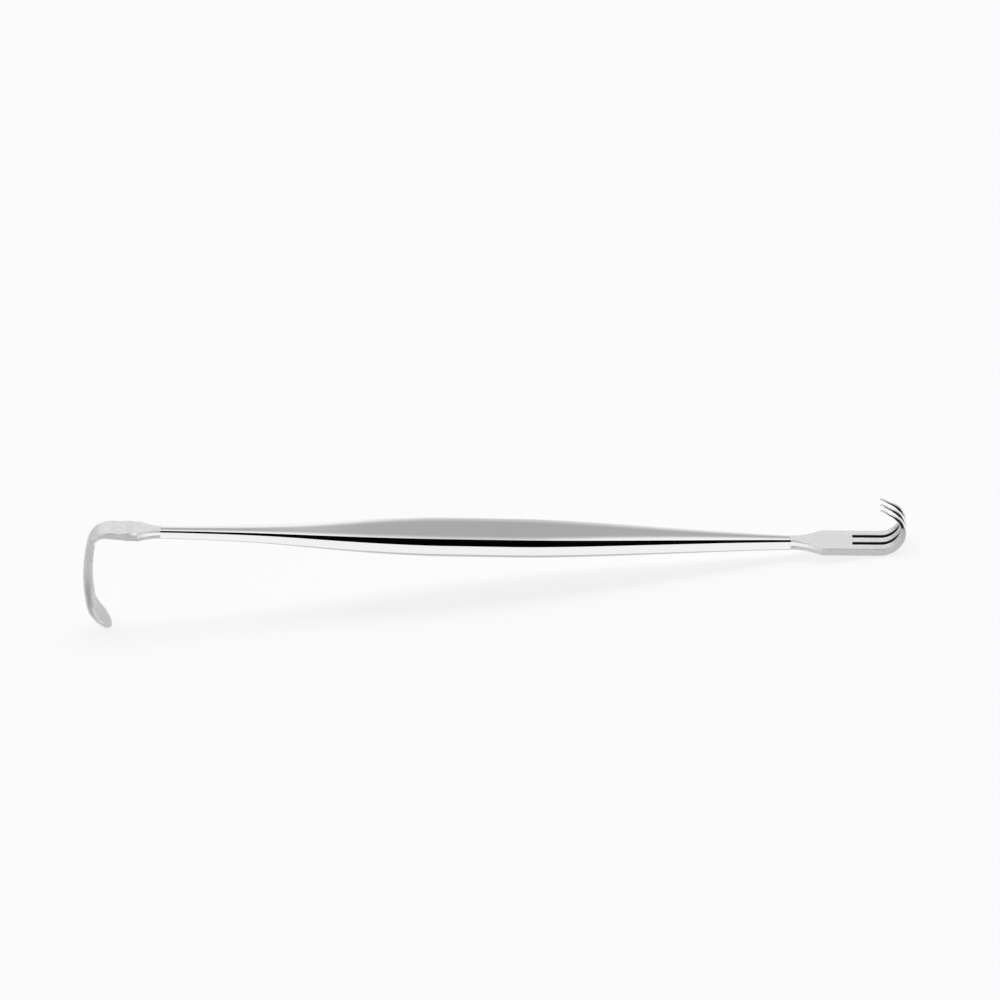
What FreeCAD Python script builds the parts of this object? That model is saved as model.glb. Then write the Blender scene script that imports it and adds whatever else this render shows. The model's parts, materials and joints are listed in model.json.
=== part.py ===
import FreeCAD, Part
import math
import os

# Handheld surgical retractor, double ended, forged and ground from one bar of stainless steel.
# A right-angle blade with a spoon lip is at one end, a three-pronged sharp claw at the other,
# and a flattened spindle between them is the handle. There is no joint and no second piece.
#
# All sizes are millimetres. The instrument is drawn as it is held: X runs along the handle from
# the blade to the claw, Z is the way the prongs point, Y is across, and X 0 is the handle's middle.
# At the end it is set down as it comes to rest on a table, on its lip and its prongs' bends.

# Handle
handle_length = 122.7
belly_width = 11.15
belly_thickness = 3.8
belly_start_share = 0.46
belly_end_share = 0.57
blade_neck_width = 2.5
blade_neck_thickness = 1.75
claw_neck_width = 2.5
claw_neck_thickness = 2.15
neck_edge_share = 0.3
belly_edge_share = 0.53

# How far the handle has swollen at even steps from each neck to the straight stretch of its
# belly. It fills out early behind the blade and runs down in a long straight taper to the claw.
blade_side_swell = (0.0, 0.07, 0.275, 0.625, 0.895, 1.0)
claw_side_swell = (0.0, 0.19, 0.425, 0.665, 0.88, 1.0)

# Blade: a flared plate, a right-angle bend, a slightly bowed shank and a lip that turns inwards
blade_flare_length = 4.4
blade_plate_length = 5.75
blade_plate_width = 5.8
blade_shoulder_thickness = 1.72
blade_bend_thickness = 1.27
blade_bend_radius = 3.3
blade_rise_angle = 1.9
blade_undershoot_angle = 12.0
blade_shank_length = 12.7
blade_shank_width = 3.9
blade_shank_thickness = 1.72
blade_bow_angle = 22.0
lip_bend_radius = 6.0
lip_bend_angle = 32.5
lip_length = 3.65
lip_width = 7.3
lip_thickness = 0.9
lip_edge_share = 0.4
narrowing_lead = 1.65

# The stretches of the shank, as shares of its length, where it is narrowest and thickest
waist_start_share = 0.15
waist_end_share = 0.5
thick_start_share = 0.2
thick_end_share = 0.6

# Claw: a flared plate with two sawn slots, bent up and back into three prongs
claw_flare_length = 6.1
claw_width = 8.0
claw_thickness = 1.57
claw_web_length = 5.9
claw_rise_angle = 0.5
prong_count = 3
slot_width = 0.95
slot_straight_length = 5.4
claw_bend_radius = 4.45
claw_bend_angle = 78.0
crown_bend_radius = 3.3
crown_bend_angle = 73.0
point_length = 3.1
point_turn_angle = 8.0
prong_crown_thickness = 1.17
point_pitch = 2.42
point_size = 0.28
taper_start_share = 0.6

# Broken edges of the ground plates, the wider ones of the blade's shank, and the largest
# share of a section's width or thickness that an edge takes
plate_edge = 0.16
shank_edge = 0.4
largest_edge_share = 0.49

# How much the broken edges bulge, where 0 is a flat bevel and 1 a quarter round: nearly flat
# on the claw, softer on the handle and the blade
bevel_crown = 0.12
soft_crown = 0.3

# How quickly the flares open, and how many sections each loft runs through
flare_power = 1.8
spindle_section_count = 9
flare_section_count = 5
blade_section_count = 19
tip_section_count = 6
tip_last_turn = 80.0
prong_section_count = 11

# How often the resting slope is corrected, and lengths and angles that count as nothing
settling_rounds = 6
nothing = 1e-9


def across(angle):
    """The direction square to a heading in the XZ plane, both given by the heading's angle."""
    return FreeCAD.Vector(-math.sin(angle), 0, math.cos(angle))


def section(place, angle, width, thickness, edge, crown):
    """A rectangle with eased corners, square to a heading, as a closed wire that starts at the
    same corner. The crown says how much each corner bulges."""
    side = FreeCAD.Vector(0, 1, 0)
    up = across(angle)
    edge = min(edge, largest_edge_share * width, largest_edge_share * thickness)
    half_side = width / 2 - edge
    half_up = thickness / 2 - edge
    corners = ((1, 1), (-1, 1), (-1, -1), (1, -1))
    edges = []
    for turn, (s, u) in enumerate(corners):
        centre = place + side * (s * half_side) + up * (u * half_up)
        first, last = (side * s, up * u) if turn % 2 == 0 else (up * u, side * s)
        chord = (first + last) * 0.5
        middle = chord + (chord / chord.Length - chord) * crown
        edges.append(Part.Arc(centre + first * edge, centre + middle * edge, centre + last * edge).toShape())
        s_next, u_next = corners[(turn + 1) % 4]
        end = place + side * (s_next * half_side) + up * (u_next * half_up) + last * edge
        edges.append(Part.LineSegment(centre + last * edge, end).toShape())
    return Part.Wire(edges)


def walk(place, angle, legs, distance):
    """The place and heading at a distance along a path of straight and round legs in the XZ plane.

    A leg is its length and the angle that it turns, and a positive turn is towards the left of
    the heading."""
    for length, turn in legs:
        step = min(distance, length)
        bend = turn * step / length
        if abs(bend) < nothing:
            place = place + FreeCAD.Vector(math.cos(angle), 0, math.sin(angle)) * step
        else:
            radius = step / bend
            place = place + across(angle) * radius - across(angle + bend) * radius
        angle += bend
        distance -= step
        if distance <= nothing:
            break
    return place, angle


def blend(points, value):
    """The height at a value on a chain of (value, height) points, eased between neighbours."""
    for (v0, h0), (v1, h1) in zip(points, points[1:]):
        if value <= v1:
            share = max(0.0, (value - v0) / (v1 - v0))
            return h0 + (h1 - h0) * share * share * (3 - 2 * share)
    return points[-1][1]


def between(start, end, share):
    """The value at a share of the way from start to end."""
    return start + (end - start) * share


def spread(start, end, count):
    """Evenly spaced values from start to end, both included."""
    return [between(start, end, i / (count - 1)) for i in range(count)]


def spindle_section(x, neck_width, neck_thickness, swell):
    """The handle's section where it has swollen by a share of the way from a neck to the belly."""
    width = between(neck_width, belly_width, swell)
    thickness = between(neck_thickness, belly_thickness, swell)
    edge = between(neck_edge_share, belly_edge_share, swell) * thickness / 2
    return section(FreeCAD.Vector(x, 0, 0), 0, width, thickness, edge, soft_crown)


def make_spindle_end(neck_x, belly_x, neck_width, neck_thickness, swells):
    """One end of the handle, lofted from its neck to the straight stretch of the belly."""
    count = len(swells) - 1
    points = [FreeCAD.Vector(i / count, swell, 0) for i, swell in enumerate(swells)]
    curve = Part.BSplineCurve()
    curve.interpolate(Points=points, Parameters=[point.x for point in points])
    wires = []
    for share in spread(0.0, 1.0, spindle_section_count):
        swell = min(1.0, max(0.0, curve.value(share).y))
        wires.append(spindle_section(between(neck_x, belly_x, share), neck_width, neck_thickness, swell))
    return Part.makeLoft(wires, True)


def make_handle():
    """The spindle, in three lengths: a taper to each neck, and a short straight belly between them."""
    half_length = handle_length / 2
    belly_start = handle_length * belly_start_share - half_length
    belly_end = handle_length * belly_end_share - half_length
    blade_end = make_spindle_end(-half_length, belly_start, blade_neck_width, blade_neck_thickness,
                                 blade_side_swell)
    claw_end = make_spindle_end(half_length, belly_end, claw_neck_width, claw_neck_thickness,
                                claw_side_swell)
    outline = Part.Face(spindle_section(belly_start, belly_width, belly_thickness, 1.0))
    belly = outline.extrude(FreeCAD.Vector(belly_end - belly_start, 0, 0))
    return [blade_end, belly, claw_end]


def make_blade():
    """The flare, plate, bend, shank and lip, lofted along one path from the neck to the tip."""
    neck = FreeCAD.Vector(-handle_length / 2, 0, 0)
    heading = math.radians(180 - blade_rise_angle)
    bend_turn = math.radians(90 + blade_rise_angle - blade_undershoot_angle)
    plate_end = blade_flare_length + blade_plate_length
    bend_end = plate_end + blade_bend_radius * bend_turn
    shank_end = bend_end + blade_shank_length
    lip_turn = math.radians(lip_bend_angle)
    lip_start = shank_end + lip_bend_radius * lip_turn
    tip = lip_start + lip_length
    legs = (
        (plate_end, 0),
        (bend_end - plate_end, bend_turn),
        (blade_shank_length, math.radians(blade_bow_angle)),
        (lip_start - shank_end, lip_turn),
        (lip_length, 0),
    )
    lip_centre = tip - lip_width / 2
    widths = (
        (blade_flare_length, blade_plate_width),
        (plate_end - narrowing_lead, blade_plate_width),
        (bend_end + waist_start_share * blade_shank_length, blade_shank_width),
        (bend_end + waist_end_share * blade_shank_length, blade_shank_width),
        (lip_centre, lip_width),
    )
    thicknesses = (
        (blade_flare_length, blade_shoulder_thickness),
        (plate_end, blade_bend_thickness),
        ((plate_end + bend_end) / 2, blade_bend_thickness),
        (bend_end + thick_start_share * blade_shank_length, blade_shank_thickness),
        (bend_end + thick_end_share * blade_shank_length, blade_shank_thickness),
        (tip, lip_thickness),
    )
    edges = ((plate_end, plate_edge), (bend_end, shank_edge))

    def station(distance, width, thinning=1.0):
        place, angle = walk(neck, heading, legs, distance)
        thickness = blend(thicknesses, distance) * thinning
        return section(place, angle, width, thickness, blend(edges, distance), soft_crown)

    flare = []
    for share in spread(0.0, 1.0, flare_section_count):
        place, angle = walk(neck, heading, legs, share * blade_flare_length)
        width = between(blade_neck_width, blade_plate_width, share ** flare_power)
        thickness = between(blade_neck_thickness, blade_shoulder_thickness, share)
        edge = between(neck_edge_share * blade_neck_thickness / 2, plate_edge, share)
        flare.append(section(place, angle if share else math.pi, width, thickness, edge, soft_crown))

    body = []
    for distance in spread(blade_flare_length, lip_centre, blade_section_count):
        body.append(station(distance, blend(widths, distance)))
    for turn in spread(0.0, tip_last_turn, tip_section_count)[1:]:
        reach = math.sin(math.radians(turn))
        narrow = math.cos(math.radians(turn))
        thinning = between(lip_edge_share, 1.0, narrow)
        body.append(station(lip_centre + reach * lip_width / 2, lip_width * narrow, thinning))
    return [Part.makeLoft(flare, True), Part.makeLoft(body, True)]


def make_claw_plate():
    """The flare from the neck to the shoulders, and the web between the shoulders and the slots."""
    neck = FreeCAD.Vector(handle_length / 2, 0, 0)
    heading = math.radians(claw_rise_angle)
    straight = ((claw_flare_length + claw_web_length, 0),)
    flare = []
    for share in spread(0.0, 1.0, flare_section_count):
        place, angle = walk(neck, heading, straight, share * claw_flare_length)
        width = between(claw_neck_width, claw_width, share ** flare_power)
        thickness = between(claw_neck_thickness, claw_thickness, share)
        edge = between(neck_edge_share * claw_neck_thickness / 2, plate_edge, share)
        crown = between(soft_crown, bevel_crown, share)
        flare.append(section(place, angle if share else 0.0, width, thickness, edge, crown))
    shoulder, angle = walk(neck, heading, straight, claw_flare_length)
    root, angle = walk(neck, heading, straight, claw_flare_length + claw_web_length)
    outline = Part.Face(section(shoulder, angle, claw_width, claw_thickness, plate_edge, bevel_crown))
    return [Part.makeLoft(flare, True), outline.extrude(root - shoulder)]


def make_prong(row):
    """One prong, lofted from the slots' roots round the bend to its point. The row counts from
    the middle of the claw."""
    neck = FreeCAD.Vector(handle_length / 2, 0, 0)
    heading = math.radians(claw_rise_angle)
    claw_turn = math.radians(claw_bend_angle)
    crown_turn = math.radians(crown_bend_angle)
    root = claw_flare_length + claw_web_length
    bend_start = root + slot_straight_length
    legs = (
        (bend_start, 0),
        (claw_bend_radius * claw_turn, claw_turn),
        (crown_bend_radius * crown_turn, crown_turn),
        (point_length, math.radians(point_turn_angle)),
    )
    tip = sum(leg[0] for leg in legs)
    crown = bend_start + claw_bend_radius * claw_turn
    root_width = (claw_width - (prong_count - 1) * slot_width) / prong_count
    root_pitch = root_width + slot_width
    taper_start = between(bend_start, crown, taper_start_share)

    def station(distance):
        place, angle = walk(neck, heading, legs, distance)
        taper = max(0.0, (distance - taper_start) / (tip - taper_start))
        place.y = row * between(root_pitch, point_pitch, taper)
        width = between(root_width, point_size, taper)
        if distance <= crown:
            bent = max(0.0, (distance - bend_start) / (crown - bend_start))
            thickness = between(claw_thickness, prong_crown_thickness, bent)
        else:
            thickness = between(prong_crown_thickness, point_size, (distance - crown) / (tip - crown))
        return section(place, angle, width, thickness, plate_edge, bevel_crown)

    straight = Part.makeLoft([station(root), station(bend_start)], True, True)
    hook_distances = spread(bend_start, tip, prong_section_count)
    hook = Part.makeLoft([station(distance) for distance in hook_distances], True)
    return [straight, hook]


def lowest(shape, slope):
    """The lowest height of a shape that has been turned in the XZ plane."""
    turned = shape.copy()
    turned.rotate(FreeCAD.Vector(), FreeCAD.Vector(0, 1, 0), slope)
    return turned.optimalBoundingBox(False).ZMin


def set_down(whole, blade, claw):
    """Sets the instrument down with its prongs up, as it rests on a table on the edge of its lip
    and the bends of its prongs, and puts the origin under the middle of its box."""
    span = whole.BoundBox.XLength
    slope = 0.0
    for _ in range(settling_rounds):
        slope += math.degrees(math.atan((lowest(claw, slope) - lowest(blade, slope)) / span))
    whole.rotate(FreeCAD.Vector(), FreeCAD.Vector(0, 1, 0), slope)
    box = whole.optimalBoundingBox(False)
    middle = FreeCAD.Vector(-box.Center.x, -box.Center.y, -box.ZMin)
    whole.translate(middle)
    print("the handle slopes", round(slope, 3), "degrees, and its middle is at", middle)
    return whole


def fuse(pieces):
    """One solid out of pieces that meet face to face."""
    joined = pieces[0].multiFuse(pieces[1:]) if len(pieces) > 1 else pieces[0]
    return joined.removeSplitter()


handle = make_handle()
blade = make_blade()
claw = make_claw_plate()
for number in range(prong_count):
    claw += make_prong(number - (prong_count - 1) / 2)
pieces = handle + blade + claw
retractor = fuse(pieces).Solids[0]
print("valid", retractor.isValid(), "volume", round(retractor.Volume, 2))
print("pieces' volume", round(sum(piece.Volume for piece in pieces), 2))
balance = retractor.CenterOfMass
print("it balances", round(balance.x, 2), "mm past the handle's middle,", round(balance.z, 2), "mm up")

os.makedirs("parts", exist_ok=True)
retractor = set_down(retractor, Part.Compound(blade), Part.Compound(claw))
box = retractor.optimalBoundingBox(False)
print("box", [round(v, 3) for v in (box.XMin, box.XMax, box.YMin, box.YMax, box.ZMin, box.ZMax)])
retractor.exportStep("parts/retractor.step")
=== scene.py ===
# %% [markdown]
# A handheld surgical retractor, forged and ground from one bar of stainless steel. It is one
# solid piece with no joints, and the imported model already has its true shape. So this lesson is
# about bare metal: how a mirror polish, a satin finish and raw saw cuts are told apart, and how
# the room around the object, more than any lamp, makes steel look like steel.

# %% Load the model
import bpy
import json
import math
from mathutils import Matrix, Vector


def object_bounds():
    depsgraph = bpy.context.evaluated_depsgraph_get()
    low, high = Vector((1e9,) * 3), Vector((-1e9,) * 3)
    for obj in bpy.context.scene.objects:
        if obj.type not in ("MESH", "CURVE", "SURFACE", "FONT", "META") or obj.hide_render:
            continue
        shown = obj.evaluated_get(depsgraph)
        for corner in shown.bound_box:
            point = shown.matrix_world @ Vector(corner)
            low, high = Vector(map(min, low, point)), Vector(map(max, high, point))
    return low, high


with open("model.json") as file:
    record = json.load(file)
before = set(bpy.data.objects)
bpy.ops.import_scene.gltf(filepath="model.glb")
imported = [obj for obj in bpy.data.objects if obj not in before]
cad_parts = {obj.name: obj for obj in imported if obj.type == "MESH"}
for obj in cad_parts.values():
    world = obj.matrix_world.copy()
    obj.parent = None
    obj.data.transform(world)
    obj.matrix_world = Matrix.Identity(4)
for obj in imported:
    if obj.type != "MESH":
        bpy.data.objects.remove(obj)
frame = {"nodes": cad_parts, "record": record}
cad_low, cad_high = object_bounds()
steel_piece = frame["nodes"]["retractor"]
mm = 0.001
deg = math.radians(1)
print("the retractor is", round((cad_high.x - cad_low.x) / mm, 1), "mm long")

# %% [markdown]
# The camera comes first, because every reflection depends on where it stands. The instrument
# rests on its lip and on the bends of its prongs, so its handle slopes a few degrees. The place
# of the camera is easiest to give in the instrument's own frame, where X runs along the handle
# and Z is the way the prongs point: there it stands in front of the handle and looks a little
# down on its broad face. The slope, read from the record, then carries it to the table's frame.

# %% Camera
grip = Vector(frame["record"]["mounts"][0]["pos_m"])
handle_axis = Vector(frame["record"]["mounts"][0]["axis"])
slope = math.atan2(-handle_axis.z, handle_axis.x)
set_down = Matrix.Rotation(slope, 3, "Y")

picture_pixels = 1000
pixels_per_mm = 5.135
grip_pixel = Vector((475.46, 537.54))
camera_distance = 2.0
camera_azimuth = -0.5 * deg
camera_elevation = 27.0 * deg
camera_roll = 0.70 * deg
sensor_width_mm = 36.0

back = set_down @ Vector((-math.sin(camera_azimuth) * math.cos(camera_elevation),
                          -math.cos(camera_azimuth) * math.cos(camera_elevation),
                          math.sin(camera_elevation)))
level_right = set_down @ Vector((math.cos(camera_azimuth), -math.sin(camera_azimuth), 0))
right = Matrix.Rotation(camera_roll, 3, back) @ level_right
up = back.cross(right)

metres_per_pixel = mm / pixels_per_mm
aim = grip
aim = aim - right * (grip_pixel.x - picture_pixels / 2) * metres_per_pixel
aim = aim + up * (grip_pixel.y - picture_pixels / 2) * metres_per_pixel

camera_data = bpy.data.cameras.new("camera")
camera = bpy.data.objects.new("camera", camera_data)
bpy.context.scene.collection.objects.link(camera)
camera_turn = Matrix((right, up, back)).transposed().to_4x4()
camera.matrix_world = Matrix.Translation(aim + back * camera_distance) @ camera_turn
camera_data.sensor_width = sensor_width_mm
camera_data.lens = sensor_width_mm * camera_distance / (picture_pixels * metres_per_pixel)
camera_data.clip_end = 10 * camera_distance
bpy.context.scene.camera = camera
print("lens", round(camera_data.lens, 1), "mm, camera at", [round(v, 3) for v in camera.location])

# %% [markdown]
# Both the studio and the steel are built from numbers that change smoothly with a direction or a
# place. These small helpers wire the nodes for them: some arithmetic, a soft step and a soft
# window. They keep every later cell short, so that it says what it makes and not how it is wired.

# %% Node helpers
def connect(tree, value, socket):
    """Give a socket a number, or the output of another node."""
    if isinstance(value, (int, float)):
        socket.default_value = value
    else:
        tree.links.new(value, socket)


def math_node(tree, operation, *values):
    """The output of a Math node. Each value is a number or an output."""
    node = tree.nodes.new("ShaderNodeMath")
    node.operation = operation
    for socket, value in zip(node.inputs, values):
        connect(tree, value, socket)
    return node.outputs[0]


def product(tree, first, *others):
    """All the values multiplied, so of masks: where all of them are."""
    for value in others:
        first = math_node(tree, "MULTIPLY", first, value)
    return first


def largest(tree, first, *others):
    """The largest of the values, so of masks: where any of them is."""
    for value in others:
        first = math_node(tree, "MAXIMUM", first, value)
    return first


def mix(tree, mask, outside, inside):
    """The outside value where the mask is 0 and the inside value where it is 1."""
    node = tree.nodes.new("ShaderNodeMix")
    for name, value in (("Factor", mask), ("A", outside), ("B", inside)):
        connect(tree, value, node.inputs[name])
    return node.outputs["Result"]


def ramp(tree, value, start, end, low=0.0, high=1.0):
    """A smooth step from low to high while the value goes from start to end."""
    node = tree.nodes.new("ShaderNodeMapRange")
    node.interpolation_type = "SMOOTHSTEP"
    tree.links.new(value, node.inputs["Value"])
    for name, number in (("From Min", start), ("From Max", end), ("To Min", low), ("To Max", high)):
        node.inputs[name].default_value = number
    return node.outputs["Result"]


def window(tree, value, start, end, soft):
    """1 while the value is between start and end, with soft edges, and 0 elsewhere."""
    rising = ramp(tree, value, start - soft, start + soft)
    falling = ramp(tree, value, end - soft, end + soft, 1.0, 0.0)
    return product(tree, rising, falling)


def split(tree, vector):
    """The X, Y and Z outputs of a vector."""
    node = tree.nodes.new("ShaderNodeSeparateXYZ")
    tree.links.new(vector, node.inputs[0])
    return node.outputs


helpers = (connect, math_node, product, largest, mix, ramp, window, split)
print("node helpers:", ", ".join(helper.__name__ for helper in helpers))

# %% [markdown]
# The floor is a sheet of matt white paper. White paper only renders white if nothing is in its
# light, and a bar of steel just above it always is. So what the camera and the steel see of the
# floor is part paper, which carries the soft shadow, and part plain white of strength 1. All
# other rays see paper alone, so the floor throws no more light on the object than paper does.

# %% Floor
floor_size = 6.0
paper_white = 0.93
paper_roughness = 0.9
white_share = 0.78

bpy.ops.object.select_all(action="DESELECT")
bpy.ops.mesh.primitive_plane_add(size=floor_size, location=(0, 0, cad_low.z))
floor = bpy.context.object
floor.name = "floor"
floor_material = bpy.data.materials.new("white paper")
floor_material.use_nodes = True
floor_tree = floor_material.node_tree
paper = floor_tree.nodes["Principled BSDF"]
paper.inputs["Base Color"].default_value = (paper_white, paper_white, paper_white, 1)
paper.inputs["Roughness"].default_value = paper_roughness
paper.inputs["Specular IOR Level"].default_value = 0.0
white = floor_tree.nodes.new("ShaderNodeEmission")
white.inputs["Strength"].default_value = 1.0
rays = floor_tree.nodes.new("ShaderNodeLightPath").outputs
seen = largest(floor_tree, rays["Is Camera Ray"], rays["Is Glossy Ray"], rays["Is Transmission Ray"])
blend = floor_tree.nodes.new("ShaderNodeMixShader")
floor_tree.links.new(product(floor_tree, seen, white_share), blend.inputs["Fac"])
floor_tree.links.new(paper.outputs["BSDF"], blend.inputs[1])
floor_tree.links.new(white.outputs["Emission"], blend.inputs[2])
floor_tree.links.new(blend.outputs["Shader"], floor_tree.nodes["Material Output"].inputs["Surface"])
floor.data.materials.append(floor_material)
print("the floor is", floor_size, "m wide, at", round(cad_low.z / mm, 3), "mm")

# %% [markdown]
# Polished steel has almost no look of its own: it shows the room. The room could be built of real
# walls and lamps, but they would have to be kept out of every view, so it is painted on the world
# by direction. Three angles tell its places apart: how far a direction leans from straight up
# towards the camera's side, how far it points aside, along the instrument, and how high it rises.

# %% Directions in the studio
world = bpy.data.worlds.new("studio")
world.use_nodes = True
bpy.context.scene.world = world
studio = world.node_tree
background = studio.nodes["Background"]
direction = split(studio, studio.nodes.new("ShaderNodeTexCoord").outputs["Generated"])
towards = product(studio, direction["Y"], -1.0)
lean = math_node(studio, "ARCTAN2", towards, direction["Z"])
aside = math_node(studio, "ARCSINE", direction["X"])
rise = math_node(studio, "ARCSINE", direction["Z"])
print("the world is", world.name, "and has", len(studio.nodes), "nodes so far")

# %% [markdown]
# The black line along the instrument is a dark room corner above the camera, mirrored in the
# narrow ground edge between the broad face and the side. The grey of the broad face is a dim
# panel that stands behind the table, and the thin light line along its near edge is the lamp box
# under the ceiling. The side walls are dim too, which gives the steel its contrast from other
# sides. Each has soft borders, and where two of them meet the later one covers the earlier.

# %% Studio
room_level = 1.0
box_level = 2.9
side_wall_level = 0.45
panel_level = 0.42
dark_level = 0.0

box_lean, box_soft = (-30 * deg, -3 * deg), 3 * deg
wall_rise, wall_rise_soft = (8 * deg, 48 * deg), 5 * deg
wall_start = (24 * deg, 32 * deg)
panel_foot, panel_top = (-92 * deg, -68 * deg), (-56 * deg, -38 * deg)
panel_aside, panel_aside_soft = (-0.5 * deg, 6.5 * deg), 1.2 * deg
corner_lean, corner_lean_soft = (-1 * deg, 92 * deg), 2 * deg
corner_aside, corner_aside_soft = (-18 * deg, 26 * deg), 4 * deg

lamp_box = window(studio, lean, *box_lean, box_soft)
side_wall = product(studio, window(studio, rise, *wall_rise, wall_rise_soft),
                    ramp(studio, math_node(studio, "ABSOLUTE", aside), *wall_start))
panel = product(studio, ramp(studio, lean, *panel_foot), ramp(studio, lean, *panel_top, 1.0, 0.0),
                window(studio, aside, *panel_aside, panel_aside_soft))
corner = product(studio, window(studio, lean, *corner_lean, corner_lean_soft),
                 window(studio, aside, *corner_aside, corner_aside_soft))
level = mix(studio, lamp_box, room_level, box_level)
level = mix(studio, side_wall, level, side_wall_level)
level = mix(studio, panel, level, panel_level)
level = mix(studio, corner, level, dark_level)
studio.links.new(level, background.inputs["Strength"])
background.inputs["Color"].default_value = (1, 1, 1, 1)
print("studio levels: room", room_level, "lamp box", box_level, "side walls", side_wall_level)
print("studio levels: panel", panel_level, "corner", dark_level)

# %% [markdown]
# The steel is one material, because the instrument is one piece, and its finishes are told apart
# by place. Two things are read for that: the place of a point in the instrument's own frame, with
# X 0 at the handle's middle, and the way its surface faces in that frame. Both come from the
# object's own coordinates, turned back by the slope, so they stay with the steel in every view.

# %% Place and facing
steel = bpy.data.materials.new("steel")
steel.use_nodes = True
tree = steel.node_tree
shader = tree.nodes["Principled BSDF"]
sideways_facing = (0.75, 0.95)
broad_facing = (0.9, 0.96)


def in_instrument_frame(vector, origin):
    """A vector, turned from the table's frame to the instrument's."""
    turned = tree.nodes.new("ShaderNodeMapping")
    turned.vector_type = "TEXTURE"
    turned.inputs["Location"].default_value = origin
    turned.inputs["Rotation"].default_value = (0, slope, 0)
    tree.links.new(vector, turned.inputs["Vector"])
    return turned.outputs["Vector"]


coordinates = tree.nodes.new("ShaderNodeTexCoord")
place = in_instrument_frame(coordinates.outputs["Object"], grip)
along, over, height = split(tree, place)
off_centre = math_node(tree, "ABSOLUTE", over)
facing = split(tree, in_instrument_frame(coordinates.outputs["Normal"], (0, 0, 0)))
facing_over = math_node(tree, "ABSOLUTE", facing["Y"])
facing_up = math_node(tree, "ABSOLUTE", facing["Z"])
sideways = ramp(tree, facing_over, *sideways_facing)
broad = ramp(tree, facing_up, *broad_facing)
print("place and facing are turned back by", round(slope / deg, 2), "degrees")

# %% [markdown]
# The handle is mirror polished from neck to neck, and both ends are satin, blasted with fine
# glass beads. On the sides of the two flares the polish runs out over the satin along the upper
# edge. The prongs are polished round the top of their bend, and satin again at their points. A
# finish could be a material on faces of its own, but some of these end in the middle of a face,
# so each is a mask that is worked out from place and facing.

# %% Polish
border = 0.08 * mm
neck = 61.35 * mm
blade_shoulder = -65.75 * mm
claw_shoulder = 67.45 * mm
flare_polish_foot = (-0.05 * mm, 0.1 * mm)
slot_start = 73.35 * mm
prong_polish_foot = (4.6 * mm, 5.6 * mm)
prong_point_start = (79.6 * mm, 80.2 * mm)

handle = window(tree, along, -neck, neck, border)
flares = product(tree, window(tree, along, blade_shoulder, claw_shoulder, border),
                 sideways, ramp(tree, height, *flare_polish_foot))
on_claw = ramp(tree, along, slot_start - border, slot_start + border)
prongs = product(tree, on_claw, ramp(tree, height, *prong_polish_foot),
                 ramp(tree, along, *prong_point_start))
polished = largest(tree, handle, flares, prongs)
print("the polish ends", round(blade_shoulder / mm, 2), "and", round(claw_shoulder / mm, 2), "mm along")

# %% [markdown]
# The two slots are raw saw cuts, and so are the flanks of the prongs that come out of them. All
# of them carry painted shade, almost black, which takes in most of the slots' broken edges. Where two
# ground faces meet, the edge between them is broken by hand, so that it doesn't cut a glove. This
# narrow slanted face is found by its facing, which is neither broad nor sideways.

# %% Painted shade of the slots, and broken edges
slot_inner, slot_outer = 0.9 * mm, 2.08 * mm
slot_border = 0.04 * mm
flank_reach = 2.5 * mm
slanted, slanted_soft = (0.3, 0.92), 0.04

slots = window(tree, off_centre, slot_inner, slot_outer, slot_border)
near_slots = ramp(tree, off_centre, flank_reach, flank_reach + border, 1.0, 0.0)
inner_flanks = product(tree, sideways, near_slots)
cut_out = product(tree, largest(tree, slots, inner_flanks), on_claw)
outer_flanks = product(tree, sideways, prongs)
# The slots and the prongs' flanks, where shade is painted almost black.
slot_painted_shade = largest(tree, cut_out, outer_flanks)
broken_edges = product(tree, window(tree, facing_up, *slanted, slanted_soft),
                       window(tree, facing_over, *slanted, slanted_soft))
print("each slot is dark for", round((slot_outer - slot_inner) / mm, 2), "mm of the claw's width")

# %% [markdown]
# All the finishes are the same neutral steel, so only tone and roughness tell them apart. Blasted
# steel is rough, a little darker and finely speckled, and its broken edges carry a painted highlight.
# The polish is light and smooth, and the handle's broken edges carry painted shade, darker than its
# faces.
# The slots and the prongs' flanks are rough and carry painted shade, almost black. The masks lay these
# values over each other, with the painted shade of the slots last.

# %% Tone and roughness
# The satin's broken edges get a painted highlight, lighter than the satin.
satin_tone, satin_edge_highlight_tone = 0.69, 0.95
# The handle's broken edges get painted shade, darker than its polish.
polished_tone, handle_edge_shade_tone = 0.92, 0.55
# Painted shade, almost black, in the slots and on the prongs' flanks.
slot_shade_tone = 0.03
satin_roughness, polished_roughness, sawn_roughness = 0.55, 0.1, 0.65
speckle_scale = 3500
speckle_depth = 0.45
noise_middle = 0.5

speckle = tree.nodes.new("ShaderNodeTexNoise")
tree.links.new(place, speckle.inputs["Vector"])
speckle.inputs["Scale"].default_value = speckle_scale
satin = math_node(tree, "SUBTRACT", speckle.outputs["Fac"], noise_middle)
satin = math_node(tree, "MULTIPLY_ADD", satin, speckle_depth, satin_tone)
# Painted highlight on the satin's broken edges.
satin = mix(tree, broken_edges, satin, satin_edge_highlight_tone)
# Painted shade on the handle's broken edges.
polish_with_painted_shade = mix(tree, product(tree, broken_edges, handle), polished_tone, handle_edge_shade_tone)
tone = mix(tree, polished, satin, polish_with_painted_shade)
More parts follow.
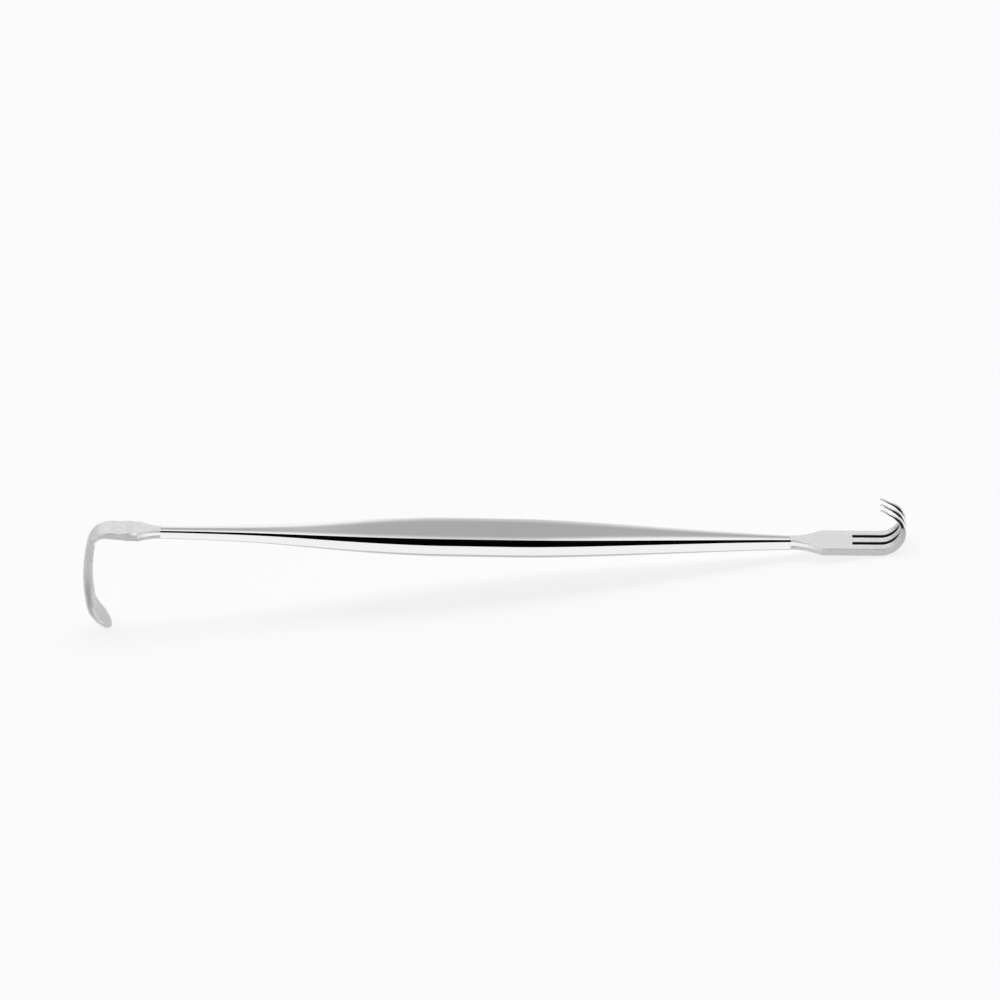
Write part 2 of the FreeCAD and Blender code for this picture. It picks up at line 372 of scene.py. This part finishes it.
# Painted shade in the slots and on the prongs' flanks covers all the rest.
tone = mix(tree, slot_painted_shade, tone, slot_shade_tone)
roughness = mix(tree, polished, satin_roughness, polished_roughness)
roughness = mix(tree, slot_painted_shade, roughness, sawn_roughness)
grey = tree.nodes.new("ShaderNodeCombineColor")
for channel in ("Red", "Green", "Blue"):
    tree.links.new(tone, grey.inputs[channel])
tree.links.new(grey.outputs["Color"], shader.inputs["Base Color"])
tree.links.new(roughness, shader.inputs["Roughness"])
shader.inputs["Metallic"].default_value = 1.0
print("tones: satin", satin_tone, "polish", polished_tone, "saw cut", slot_shade_tone)

# %% [markdown]
# A hand-ground face is never quite flat. The handle's broad faces are flat in the middle and
# fall away a little towards their edges, and near the necks they are crowned all over, which is
# why the grey mirrored panel narrows there and runs out. The fall is a fraction of a millimetre,
# far less than the outline shows, so it is given as bump height, worked out from how wide the
# handle is at each place.

# %% How far the handle has swollen
neck_half_width, belly_half_width = 1.25 * mm, 5.575 * mm
belly_start_share, belly_end_share = 0.46, 0.57
blade_side_swell = (0.0, 0.07, 0.275, 0.625, 0.895, 1.0)
claw_side_swell = (0.0, 0.19, 0.425, 0.665, 0.88, 1.0)

share = tree.nodes.new("ShaderNodeMapRange")
tree.links.new(along, share.inputs["Value"])
share.inputs["From Min"].default_value = -neck
share.inputs["From Max"].default_value = neck
swell_curve = tree.nodes.new("ShaderNodeFloatCurve")
tree.links.new(share.outputs["Result"], swell_curve.inputs["Value"])
steps = len(blade_side_swell) - 1
blade_side = [(belly_start_share * i / steps, blade_side_swell[i]) for i in range(steps + 1)]
claw_side = [(1 - (1 - belly_end_share) * i / steps, claw_side_swell[i]) for i in range(steps + 1)]
curve_points = blade_side + claw_side[::-1]
curve = swell_curve.mapping.curves[0]
for point, target in zip(curve.points, (curve_points[0], curve_points[-1])):
    point.location = target
for target in curve_points[1:-1]:
    curve.points.new(*target)
swell_curve.mapping.update()
swell = swell_curve.outputs["Value"]
print("the swell's curve has", len(curve.points), "points")

# %% Crown of the broad faces
flat_share = 0.32
crown_slope = 0.32

half_width = mix(tree, swell, neck_half_width, belly_half_width)
out = math_node(tree, "DIVIDE", off_centre, half_width)
past_flat = math_node(tree, "SUBTRACT", out, product(tree, swell, flat_share))
past_flat = largest(tree, past_flat, 0.0)
fall = product(tree, past_flat, past_flat, half_width)
crown = product(tree, fall, -crown_slope / 2, handle, broad)
edge_fall = crown_slope / 2 * (1 - flat_share) ** 2 * belly_half_width
print("the crown falls", round(edge_fall / mm, 2), "mm at the belly's edge")

# %% [markdown]
# Bead blasting leaves shallow dimples, a few to the millimetre, all over the satin. Polishing
# leaves hair-fine lines along the handle. Both are noise turned into bump height: round noise for
# the satin, and noise that is drawn out along the handle for the polish. The bump's strength and
# distance are both 1, so that its height is in metres.

# %% Grain
dimples_per_metre, dimple_detail, dimple_depth = (4000, 4000, 4000), 1.0, 0.012 * mm
lines_per_metre, line_detail, line_depth = (60, 2500, 2500), 2.0, 0.002 * mm


def grain(per_metre, detail):
    """Noise between 0 and 1, with a number of grains in each metre along, over and up."""
    scaled = tree.nodes.new("ShaderNodeMapping")
    scaled.inputs["Scale"].default_value = per_metre
    tree.links.new(place, scaled.inputs["Vector"])
    noise = tree.nodes.new("ShaderNodeTexNoise")
    noise.inputs["Scale"].default_value = 1.0
    noise.inputs["Detail"].default_value = detail
    tree.links.new(scaled.outputs["Vector"], noise.inputs["Vector"])
    return noise.outputs["Fac"]


dimples = product(tree, grain(dimples_per_metre, dimple_detail), dimple_depth)
lines = product(tree, grain(lines_per_metre, line_detail), line_depth)
relief = math_node(tree, "ADD", crown, mix(tree, polished, dimples, lines))
bump = tree.nodes.new("ShaderNodeBump")
bump.inputs["Strength"].default_value = 1.0
bump.inputs["Distance"].default_value = 1.0
tree.links.new(relief, bump.inputs["Height"])
tree.links.new(bump.outputs["Normal"], shader.inputs["Normal"])
print("dimples", round(dimple_depth / mm, 3), "mm deep, lines", round(line_depth / mm, 3), "mm")

# %% [markdown]
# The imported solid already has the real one's outline, bends, slots and broken edges, so it isn't
# modelled again here. It keeps its mesh and place, and only puts on the steel.

# %% Dress the instrument
steel_piece.data.materials.clear()
steel_piece.data.materials.append(steel)
print("the retractor wears", steel_piece.data.materials[0].name)

# %% [markdown]
# The plain Standard view shows each tone about as it was written.

# %% Finish
bpy.context.scene.view_settings.view_transform = "Standard"
